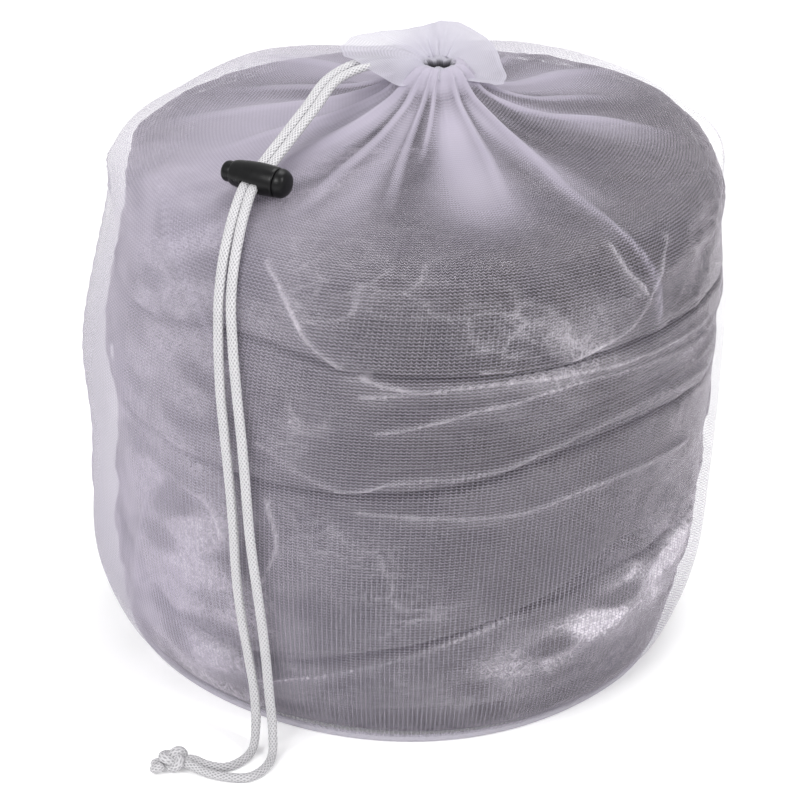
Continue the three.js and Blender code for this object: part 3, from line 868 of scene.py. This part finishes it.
def add_seam_tape():
    """A tape sewn over the net's closing seam, up the back of the drum."""
    rows, across = 150, 9
    share = np.linspace(0.03, 0.56, rows)[:, None]
    angle = math.radians(SEAM_ANGLE) + np.linspace(-1, 1, across)[None, :] * 4.5 / 160
    points, radius, height = drum_points(angle, share)
    centre = np.stack([lean(height[:, 0]), 0 * height[:, 0], height[:, 0]], -1)[:, None, :]
    outward = points - centre
    outward[..., 2] = 0
    outward /= np.linalg.norm(outward, axis=-1, keepdims=True)
    drape = waves(angle, height, 11, 9, 260) * smooth(height, 6, 40)
    edge = np.abs(np.linspace(-1, 1, across))[None, :]
    stitch = 0.18 * np.cos(height * TURN / 2.6) * bell(edge - 0.75, 0.14)
    points = points + outward * (1.5 + 1.3 * drape - 0.3 * edge**4 - stitch)[..., None]
    uv = flat_grid(np.linspace(0, 0.009, across), np.linspace(0, 0.22, rows))
    values = {"gather": np.full(rows * across, 3.0)}
    piece = grid_object("seam_tape", points, uv, closed=False, values=values)
    solid = piece.modifiers.new("thickness", "SOLIDIFY")
    solid.thickness = 0.5 * MM
    solid.offset = 0
    apply_modifier(piece, solid)
    return place(piece, "bag", TAPE, "tape", "side_seam")


def add_base():
    """The round net base, and the bound seam that joins it to the side."""
    angle = angles(240)
    share = np.linspace(0.015, 1, 60)[:, None]
    rim = outline(angle, BASE_RADIUS - 4.1, 0.0)
    reach = rim * share
    dimple = 0.25 * waves(angle, 300 * share, 21, 14, 90)
    height = 0.75 + dimple * smooth(share, 0.1, 0.4)
    points = round_points(lean(0), reach, angle, height)
    faces, _ = grid_parts(points, np.zeros((60, 241, 2)), True)
    faces.append(list(range(240)))
    flat = points.reshape(-1, 3)
    corners = flat[np.concatenate([np.array(f) for f in faces])][:, :2] * MM
    values = {"gather": np.ones(len(flat))}
    base = mesh_object("base_net", flat, faces, corners, values)
    fix_normals(base)
    place(base, "bag", NET, "net", "base_panel")

    around = angles(480)
    turn = TURN * steps(17)[:, None]
    pucker = 1 + 0.10 * np.cos(150 * around) * (0.5 + 0.5 * np.sin(turn))
    middle = outline(around, BASE_RADIUS, 0.0) - 1.7
    reach = middle + 1.75 * pucker * np.cos(turn)
    points = round_points(lean(0), reach, around, 1.9 + 1.6 * pucker * np.sin(turn))
    uv = flat_grid(np.linspace(0, 0.85, 481), np.linspace(0, 0.0105, 17))
    values = {"gather": np.full(points.shape[:2], 4.0)}
    binding = grid_object("bound_seam", points, uv, values=values)
    place(binding, "bag", TAPE, "tape", "base_binding")
    return base, binding


# ---- Mouth ----
def add_mouth():
    """The hem drawn up into a tight ring. Its folds run over the drawstring and into a throat, painted dark
    inside as shade.
    """
    lip = [
        (13.0, 287.4), (11.0, 289.4), (9.2, 290.9), (7.8, 291.7),
        (6.8, 291.2), (5.8, 288.9), (4.9, 284), (4.2, 277),
    ]
    rows, segments = 72, 540
    line = spline(lip, steps(rows))
    angle = angles(segments)
    share = steps(rows)[:, None]
    rise, _ = fold_field(angle, line[:, :1])
    gathers = 0.25 * np.cos(31 * angle + 1.2 * np.sin(5 * angle))
    gathers = gathers + 0.3 * waves(angle, 12 * share, 31, 24, 60)
    bulges = np.cos(8 * angle + 0.9 * np.sin(2 * angle)) * bell(share - 0.5, 0.25)
    reach = line[:, :1] + gathers * smooth(share, 0.15, 0.4) + 0.4 * bulges + 0.5 * rise
    squeeze = 1 - 0.38 * smooth(share, 0.35, 0.6) * np.sin(angle) ** 2
    lift = 0.4 * gathers * smooth(share, 0.1, 0.3) + 0.5 * bulges + 0.85 * rise
    points = round_points(NECK_X, reach * squeeze, angle, line[:, 1:] + lift)
    uv = flat_grid(steps(segments + 1), np.linspace(0.38, 0.42, rows))
    # The throat value paints shade: it darkens the net down inside the mouth.
    values = {"gather": 7.0 + 0 * rise, "painted_throat_shade": smooth(share, 0.5, 0.72) + 0 * angle}
    piece = grid_object("mouth_gather", points, uv, values=values)
    return place(piece, "bag", HEM, "net", "drawstring_channel")


# The frill's free edge round the mouth: angle in degrees, reach from the mouth's middle, height.
FRILL_EDGE = [
    (-40, 13, 289), (-21, 22, 284), (-2, 29, 281), (16, 33.5, 283.5), (35, 33, 291.8),
    (52, 29.5, 298), (68, 27, 302.6), (86, 24.5, 303), (106, 25.5, 302), (130, 33, 299),
    (150, 42, 298.2), (168, 47, 298), (182, 46, 298), (195, 40, 297.6), (207, 31, 292.5),
    (218, 23, 286.5), (232, 14, 288.5),
]


def add_frill():
    """The heading above the hem: it stands up behind the mouth and tents over the cords on the left."""
    columns, rows = 420, 60
    degrees = np.linspace(FRILL_EDGE[0][0], FRILL_EDGE[-1][0], columns)
    edge_reach, edge_height = table_curve(FRILL_EDGE, degrees)
    angle = np.radians(degrees)[None, :]
    share = steps(rows)[:, None]
    inner_reach, inner_height = 7.4, 292.0
    reach = inner_reach + (edge_reach - inner_reach) * share
    low_side = fall(edge_height, 288, 296)
    rising = 0.85 - 0.45 * hill(angle, 180, 36)
    arch = (1.0 - 2.2 * low_side) * np.sin(math.pi * share)
    height = inner_height + (edge_height - inner_height) * share**rising + arch
    crease = 0.7 * np.cos(13 * angle + 1.4 * np.sin(3 * angle))
    crease = crease + 0.45 * waves(angle, 30 * share, 41, 34, 50)
    deep = 1.7 * bell(angle - 1.62, 0.07) + 1.4 * bell(angle - 1.86, 0.06)
    soft = 1.1 * waves(angle, 14 * share, 42, 7, 60)
    height = height + crease * (1 - 0.6 * share) - deep * fall(share, 0.25, 0.8)
    height = height + soft * np.sin(math.pi * np.minimum(share, 0.75) / 0.75 * 0.5)
    flutter = share * (0.7 * np.cos(7 * angle + 1.0) + 0.5 * np.cos(17 * angle + 2 * np.sin(4 * angle)))
    points = round_points(NECK_X, reach + flutter, angle, height)
    uv = flat_grid(np.radians(degrees) * 0.16, np.linspace(0.25, 0.29, rows))
    hem = fall(edge_reach * (1 - share), 2.6, 3.4) * hill(angle, 70, 75)
    gather = 1.6 + 6.5 * fall(reach, 10, 32) + 3.0 * hill(angle, 78, 62) + 2.0 * hem
    piece = grid_object("frill", points, uv, closed=False, values={"gather": gather})
    return place(piece, "bag", HEM, "net", "mouth_frill")


def add_drawcord_loop():
    """The drawstring inside the hem, once round the mouth."""
    ring = round_points(NECK_X, HEM_CORD_REACH, angles(120)[0], HEM_CORD_HEIGHT)
    piece = tube("hem_cord", ring, CORD_RADIUS, 20, closed=True, braid=0.16)
    return place(piece, "bag", CORD, "cord", "drawcord_loop")


# ---- Laundry: dark garments folded in layers, each bundle under a hood of clear film ----
BUNDLES = [
    {"name": "bottom", "low": 2.2, "high": 66, "rounding": 3.5},
    {"name": "middle", "low": 67.5, "high": 134, "rounding": 3.5},
    {"name": "upper", "low": 135.5, "high": 192, "rounding": 3.5},
    {"name": "top", "low": 193.5, "high": 249, "rounding": 24},
]
# Grooves between folded layers: height, depth, half width, wobble seed, angle of their middle, spread.
LAYERS = [
    (17, 3.0, 3.0, 51, -80, 50), (34, 3.6, 3.4, 52, -40, 45), (27, 4.0, 3.4, 53, 150, 70),
    (50, 4.0, 3.4, 54, 60, 70), (92, 3.4, 3.2, 55, 15, 50), (112, 4.0, 3.4, 56, 160, 70),
    (100, 3.4, 3.2, 57, 80, 60), (148, 3.4, 2.6, 58, -60, 45), (158, 3.6, 2.6, 59, -48, 50),
    (168, 4.2, 2.6, 60, -55, 60), (178, 3.6, 2.4, 61, -50, 45), (160, 4.0, 3.4, 62, 120, 80),
    (208, 4.0, 3.2, 63, -150, 35), (222, 4.0, 3.6, 64, 40, 60), (212, 4.0, 3.6, 65, 140, 60),
]
# Where bundles meet: height, half height of the wander, its size in front, its further size behind, seed.
MEETINGS = [(66, 30, 5, 17, 81), (134, 28, 6, 17, 82), (192, 26, 5, 13, 83)]
# Where the film is bunched up and cloudy, partly its own haze and partly painted highlight: how much,
# angle, half width, height, half height.
FILM_CLOUDS_AND_HIGHLIGHTS = [
    (0.9, -141, 13, 110, 13), (1.3, -143, 20, 58, 36), (0.35, -62, 14, 206, 26), (0.6, 120, 30, 90, 24),
]
# Sealed edges and long creases of the film: (angle, height) points. The film is drawn in along them, and
# highlights are painted milky white along them.
FILM_LINES = [
    [(-116, 163), (-104, 147), (-98, 144), (-90, 151), (-73, 153), (-62, 161), (-43, 167), (-20, 160)],
    [(-118, 28), (-109, 36), (-85, 57), (-70, 69), (-57, 77), (-40, 79), (-20, 74)],
    [(-38, 243), (-42, 230), (-46, 215), (-56, 206), (-67, 201), (-78, 205)],
    [(-95, 176), (-88, 179), (-74, 187), (-55, 190), (-21, 178)],
    [(-98, 193), (-78, 198), (-63, 196), (-43, 192), (-20, 186)],
    [(-97, 135), (-85, 133), (-68, 129), (-51, 133), (-25, 128)],
    [(-121, 244), (-114, 231), (-107, 214), (-96, 200), (-84, 196)],
    [(-114, 134), (-112, 110), (-116, 80), (-115, 53)],
    [(-52, 247), (-50, 236), (-45, 222)],
    [(-150, 122), (-138, 126), (-127, 120), (-124, 104)],
    [(20, 60), (40, 75), (62, 70), (85, 84)],
    [(60, 150), (85, 162), (110, 158), (140, 172)],
    [(150, 70), (175, 88), (200, 80)],
    [(-10, 120), (5, 140), (25, 148)],
    [(100, 214), (130, 226), (160, 220)],
]
WALL_HEIGHTS = PROFILE_LINE[:240, 1]
WALL_RADII = PROFILE_LINE[:240, 0]


def layer_depth(angle, height):
    """How far in the folded layers' grooves go, in mm."""
    depth = 0.0
    for at, deep, width, seed, middle_angle, spread in LAYERS:
        middle = at + 4 * waves(angle, 0, seed, 4, 100, 6)
        strength = hill(angle, middle_angle, spread)
        depth = depth + deep * strength * bell(np.abs(height - middle), width, 1.3)
    return depth


def bundle_step(angle, height):
    """How much further in one bundle stands than the next, in mm."""
    step = 0.0
    for k, bundle in enumerate(BUNDLES):
        inside = (height >= bundle["low"] - 0.8) & (height < bundle["high"] + 0.7)
        step = step + np.where(inside, 2.2 * waves(angle, 0, 85 + k, 4, 100, 6), 0.0)
    return step


def garment_inset(angle, height):
    """How far the cloth stands in from the net, in mm, before its rounded edges."""
    hollow = 14 * hill(angle, -152, 26) * fall(height, 90, 128) * smooth(height, 8, 34)
    hollow = hollow + 12 * hill(angle, -36, 14) * bell(height - 58, 26)
    hollow = hollow + 5 * hill(angle, -150, 40) * smooth(height, 120, 150)
    rumple = 3.0 * waves(angle, height, 71, 6, 90) + 1.2 * waves(angle, height, 72, 14, 34)
    inset = (8.4 - 2.8 * np.cos(angle)) * (0.4 + 0.6 * smooth(height, 3, 24)) + hollow
    inset = inset + np.maximum(rumple, -2.2) * smooth(height, 3, 20)
    return inset + layer_depth(angle, height) + bundle_step(angle, height)


def bundle_rows(bundle, angle, low, high, wall_rows, cap_rows):
    """Rows of a bundle: height, round-off of its edges in mm, and share of the radius on its flat ends."""
    rounding = bundle["rounding"]
    height = low + (high - low) * steps(wall_rows)
    from_edge = np.minimum((height - low) / 3, (high - height) / rounding)
    edge = np.where(height - low < high - height, 3, rounding)
    round_off = edge * (1 - np.sqrt(np.clip(1 - (1 - np.clip(from_edge, 0, 1)) ** 2, 0, 1)))
    round_off = np.concatenate([round_off, np.full(cap_rows, rounding)])[:, None]
    if bundle is not BUNDLES[-1]:
        round_off = round_off * (1 - 0.6 * behind(angle))
    height = np.concatenate([height, np.full(cap_rows, high)])[:, None]
    share = np.concatenate([np.ones(wall_rows), np.linspace(0.97, 0.02, cap_rows)])[:, None]
    return height, round_off, share


def behind(angle):
    """Share from 0 at the front of the drum to 1 at its back."""
    return smooth(np.abs(turned_from(angle, -math.pi / 2)), 1.25, 2.2)


def load_points(angle, height, inset, share):
    """Points of the load. Its bundles tilt and wander all together, more at the back than at the front."""
    wall = np.interp(np.minimum(height, 236), WALL_HEIGHTS, WALL_RADII)
    radius = outline(angle, wall - inset, height) * share
    low = (12 - 40 * hill(angle, -125, 48)) * bell(height - 66, 42) * smooth(height, 3, 30)
    middle = (9 + 6 * hill(angle, -50, 22)) * bell(height - 134, 34)
    high = (7 + 13 * hill(angle, -122, 18)) * bell(height - 192, 26)
    up = height + low + middle + high
    for at, spread, size, size_behind, seed in MEETINGS:
        wander = size * waves(angle, 0, seed, 3, 100, 5)
        wander = wander + size_behind * behind(angle) * waves(angle, 0, seed + 14, 4, 100, 6)
        up = up + wander * bell(height - at, spread)
    return round_points(lean(height), radius, angle, up)


def add_garment(bundle):
    """One bundle of folded garments. The top one is open to view, so its upper side is rumpled."""
    angle = angles(300)
    is_top = bundle is BUNDLES[-1]
    cap_rows = 44 if is_top else 12
    height, round_off, share = bundle_rows(
        bundle, angle, bundle["low"], bundle["high"] - 0.8, 64, cap_rows
    )
    points = load_points(angle, height, garment_inset(angle, height) + round_off, share)
    if is_top:
        inner = fall(share, 0.8, 0.98)
        rumple = 1.6 * waves(angle, 200 * share, 91, 5, 90) + 0.8 * waves(angle, 200 * share, 92, 11, 40)
        points[..., 2] += inner * (rumple - 1.8)
    piece = grid_object(f"folded_cloth_{bundle['name']}", points, caps=True)
    fix_normals(piece)
    place(piece, "bag", CLOTH, "garment", f"garment_{bundle['name']}")
    return piece


def crumple(points, scale, seed):
    """For each point, 0 at a crease of a crumpled pattern and up to about 1 between creases."""
    offset = Vector((seed * 7.3, seed * 3.1, seed * 5.7))
    shares = np.empty(len(points))
    for k, point in enumerate(points):
        at = Vector(point / scale) + offset
        distances, _ = noise.voronoi(at + 0.35 * noise.noise_vector(1.3 * at))
        shares[k] = distances[1] - distances[0]
    return shares


def near_lines(angle, height, lines, width):
    """Nearness from 0 to 1 to any of some (angle, height) lines on the drum's wall."""
    nearest = np.full(np.broadcast(angle, height).shape, 1e9)
    for line in lines:
        dense = spline(line, steps(90))
        for at, up in dense:
            away = 145 * turned_from(angle, math.radians(at))
            nearest = np.minimum(nearest, away**2 + (height - up) ** 2)
    return np.exp(-nearest / width**2)


def film_cloud_and_highlight(angle, up, seed):
    """How cloudy the bunched-up film is at each point, from 0 to 1: partly its own haze and partly painted
    highlight.
    """
    slanted = 60 + 40 * (angle % TURN - 5.6)
    cloud_and_highlight = 0.7 * hill(angle, -152, 30) + 1.7 * hill(angle, -40, 26) * bell(up - slanted, 15)
    for much, at, width, middle, half_height in FILM_CLOUDS_AND_HIGHLIGHTS:
        cloud_and_highlight = cloud_and_highlight + much * hill(angle, at, width) * bell(up - middle, half_height)
    patches = np.clip(0.62 + 0.9 * waves(angle, up, seed + 120, 24, 20, 14), 0, 1)
    return np.clip(cloud_and_highlight * patches + 0.05 * np.clip(waves(angle, up, seed + 130, 8, 60), 0, 1), 0, 1)


def add_film(bundle, seed):
    """The hood of film round one bundle, puffed out between its creases and drawn in along its seals."""
    angle = angles(640)
    cap_rows = 60 if bundle is BUNDLES[-1] else 10
    height, round_off, share = bundle_rows(
        bundle, angle, bundle["low"] + 1.5, bundle["high"], 76, cap_rows
    )
    garment = garment_inset(angle, height)
    loose = (6.4 - 2.6 * np.cos(angle)) * (0.4 + 0.6 * smooth(height, 3, 24))
    loose = loose + 0.3 * layer_depth(angle, height) + 0.7 * bundle_step(angle, height)
    flat = load_points(angle, height, loose + round_off, share)
    up = flat[..., 2]
    squeezed = flat.reshape(-1, 3) * (1.0, 1.0, 1.6)
    broad = crumple(squeezed, 34, seed).reshape(up.shape)
    narrow = crumple(squeezed[:, [1, 2, 0]], 12, seed + 4).reshape(up.shape)
    puff = 4.2 * np.minimum(broad, 0.7) + 1.5 * np.minimum(narrow, 0.6)
    puff = puff * np.clip(0.75 + 0.45 * waves(angle, height, seed + 100, 6, 80), 0.25, 1.4)
    seal = near_lines(angle, up, FILM_LINES, 1.8)
    least = 2.0 + 1.5 * hill(angle, 190, 55)
    inset = np.minimum(np.maximum(loose - puff - 1.8 * seal + 1.5, least), garment - 0.7)
    points = load_points(angle, height, inset + 0.7 * round_off, share)
    points[..., 2] += np.where(share < 1, 0.9 * puff, 0)
    # Painted highlights: thin lines along the crumple creases and the sealed edges go into the crease
    # value, which paints the film milky white there.
    painted_crumple_glint = np.exp(-broad / 0.03) + 0.6 * np.exp(-narrow / 0.04)
    lines = np.clip(waves(angle, height, seed + 110, 9, 50), 0, 1)
    drawn = 0.9 * near_lines(angle, up, FILM_LINES, 0.9) + 0.16 * near_lines(angle, up + 2, FILM_LINES, 3.5)
    crease = np.maximum(np.clip(0.35 * painted_crumple_glint * lines, 0, 1), drawn * (0.45 + 0.55 * lines))
    # The cloud value is partly the bunched film's own haze and partly painted highlight, in pale patches
    # placed where light catches the film.
    values = {"crease": crease, "cloud_and_highlight": film_cloud_and_highlight(angle, up, seed)}
    piece = grid_object(f"film_wrap_{bundle['name']}", points, values=values)
    return place(piece, "bag", FILM, "film", f"film_{bundle['name']}")


side_net = add_side_net()
seam_tape = add_seam_tape()
base_net, bound_seam = add_base()
mouth = add_mouth()
frill = add_frill()
add_drawcord_loop()
garments = [add_garment(bundle) for bundle in BUNDLES]
films = [add_film(bundle, seed) for seed, bundle in enumerate(BUNDLES)]


# ---- Floor, world and lights ----
def add_floor():
    bpy.ops.mesh.primitive_plane_add(size=8)
    floor = bpy.context.active_object
    floor.name = "floor"
    s = Shader("pale_floor")
    faint = s.noise(3.0)
    colour = s.blend(faint, (0.96, 0.96, 0.965, 1), (0.98, 0.98, 0.98, 1))
    glow = {"Emission Color": (1, 1, 1, 1), "Emission Strength": 0.14}
    floor.data.materials.append(s.principled({"Base Color": colour, "Roughness": 0.9, **glow}))


def add_area_light(name, position, size, power):
    data = bpy.data.lights.new(name, "AREA")
    data.shape = "RECTANGLE"
    data.size, data.size_y = size
    data.energy = power
    light = bpy.data.objects.new(name, data)
    light.location = position
    aim = Vector((0, 0, 0.14)) - light.location
    light.rotation_euler = aim.to_track_quat("-Z", "Y").to_euler()
    bpy.context.scene.collection.objects.link(light)


def add_world():
    world = bpy.data.worlds.new("studio")
    world.use_nodes = True
    background = world.node_tree.nodes["Background"]
    background.inputs[0].default_value = (1, 1, 1, 1)
    background.inputs[1].default_value = 0.62
    bpy.context.scene.world = world


add_floor()
add_world()
add_area_light("key", (-1.0, -1.2, 1.5), (0.9, 0.9), 15)
add_area_light("top", (0.3, 0.5, 1.6), (1.0, 1.0), 14)
add_area_light("strip_right", (0.9, -0.9, 1.1), (0.10, 0.7), 7)
add_area_light("strip_left", (-0.4, -1.3, 1.3), (0.6, 0.08), 7)
bpy.context.scene.view_settings.view_transform = "Standard"
